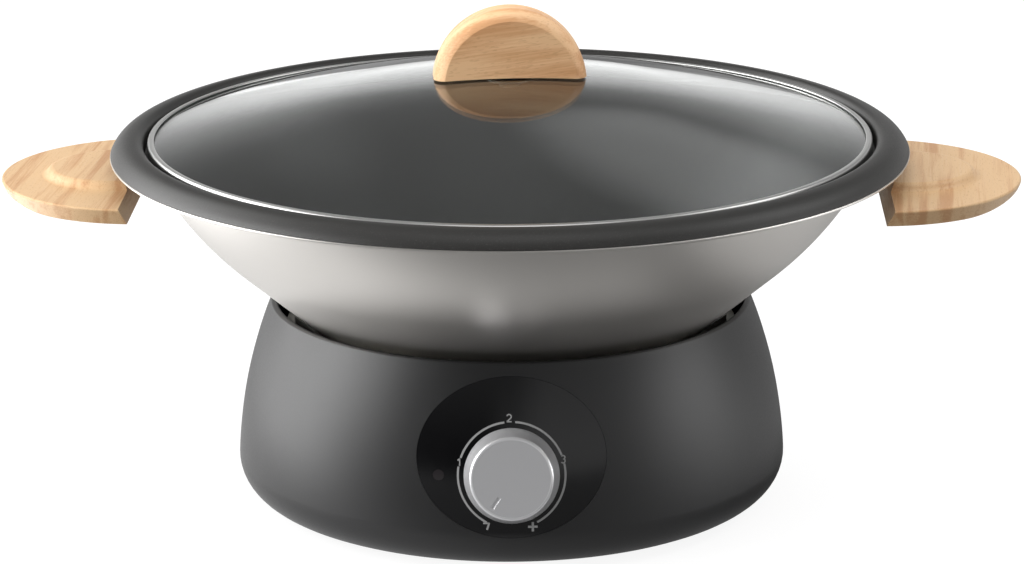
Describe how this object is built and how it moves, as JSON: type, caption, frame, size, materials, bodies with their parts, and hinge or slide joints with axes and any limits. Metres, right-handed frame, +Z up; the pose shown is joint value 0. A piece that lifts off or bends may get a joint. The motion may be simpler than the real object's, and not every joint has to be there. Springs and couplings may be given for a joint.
{
  "type": "electric wok",
  "caption": "Electric wok: a flared black base with a heat dial, a lift-out steel bowl with half-round wooden handles, and a lift-off domed glass lid with a wooden knob.",
  "frame": {"origin": "on the surface that the wok stands on, in the middle of the round base", "axes": "+Z up; +X to the right as the user sees the dial, through the right handle; -Y out of the front, where the dial is; +Y out of the back, where the mains cord comes in"},
  "size_m": [0.461, 0.36, 0.2256],
  "materials": {
    "housing_plastic": "matt black moulding",
    "panel_plastic": "glossy black",
    "lens_plastic": "dark red, clear",
    "lamp_glass": "clear",
    "bright_sheet": "bright, thin",
    "plated_steel": "zinc plated",
    "sheath_steel": "dark, heat coloured",
    "bowl_steel": "satin outside",
    "ceramic": "unglazed",
    "thermostat_plastic": "moulded",
    "copper_tube": "copper",
    "block_plastic": "moulded",
    "brown_insulation": "flexible",
    "blue_insulation": "flexible",
    "earth_insulation": "flexible",
    "white_insulation": "flexible",
    "cover_sheet": "matt",
    "foot_rubber": "matt",
    "gland_plastic": "matt",
    "knob_core_plastic": "matt",
    "knob_cap_metal": "satin silver",
    "beech": "clear satin lacquer",
    "lid_glass": "polished",
    "rim_steel": "polished",
    "insert_brass": "plain",
    "gasket_silicone": "matt"
  },
  "bodies": {
    "base": {"base_housing": "housing_plastic", "control_panel": "panel_plastic", "indicator_lens": "lens_plastic", "indicator_lamp": "lamp_glass", "heat_shield": "bright_sheet", "bowl_support_ring": "plated_steel", "shield_screws": "plated_steel", "heating_element": "sheath_steel", "element_supports": "plated_steel", "element_bushes": "ceramic", "element_terminals": "plated_steel", "thermostat_bracket": "plated_steel", "thermostat_body": "thermostat_plastic", "thermostat_terminals": "plated_steel", "thermostat_screws": "plated_steel", "capillary_tube": "copper_tube", "sensor_bulb": "copper_tube", "bulb_clips": "plated_steel", "thermal_fuse": "white_insulation", "terminal_block": "block_plastic", "terminal_block_screw": "plated_steel", "live_lead": "brown_insulation", "switched_lead": "brown_insulation", "fused_lead": "white_insulation", "neutral_lead": "blue_insulation", "earth_lead": "earth_insulation", "lamp_leads": "white_insulation", "earth_screw": "plated_steel", "bottom_cover": "cover_sheet", "cover_screws": "plated_steel", "rubber_feet": "foot_rubber", "cord_gland": "gland_plastic"},
    "dial": {"control_knob": "knob_core_plastic", "knob_cap": "knob_cap_metal", "thermostat_shaft": "plated_steel"},
    "bowl": {"wok_bowl_floor": "bowl_steel", "wok_bowl_lower_side": "bowl_steel", "wok_bowl_upper_side": "bowl_steel", "wok_bowl_flange": "bowl_steel", "left_handle": "beech", "right_handle": "beech", "left_handle_bracket": "plated_steel", "right_handle_bracket": "plated_steel", "handle_screws": "plated_steel"},
    "lid": {"lid_glass": "lid_glass", "lid_rim": "rim_steel", "lid_knob": "beech", "lid_knob_insert": "insert_brass", "lid_screw": "plated_steel", "lid_washer": "plated_steel", "lid_gasket_upper": "gasket_silicone", "lid_gasket_lower": "gasket_silicone"}
  },
  "joints": [
    {"name": "dial_turn", "type": "hinge", "parent": "base", "child": "dial", "pos_m": [0, -0.12255, 0.0456], "axis": [0, 0.9799, -0.1994], "range_deg": [0, 306]},
    {"name": "bowl_lift", "type": "slide", "parent": "base", "child": "bowl", "axis": [0, 0, 1], "range_m": [0, 0.1]},
    {"name": "lid_lift", "type": "slide", "parent": "bowl", "child": "lid", "axis": [0, 0, 1], "range_m": [0, 0.1]}
  ]
}
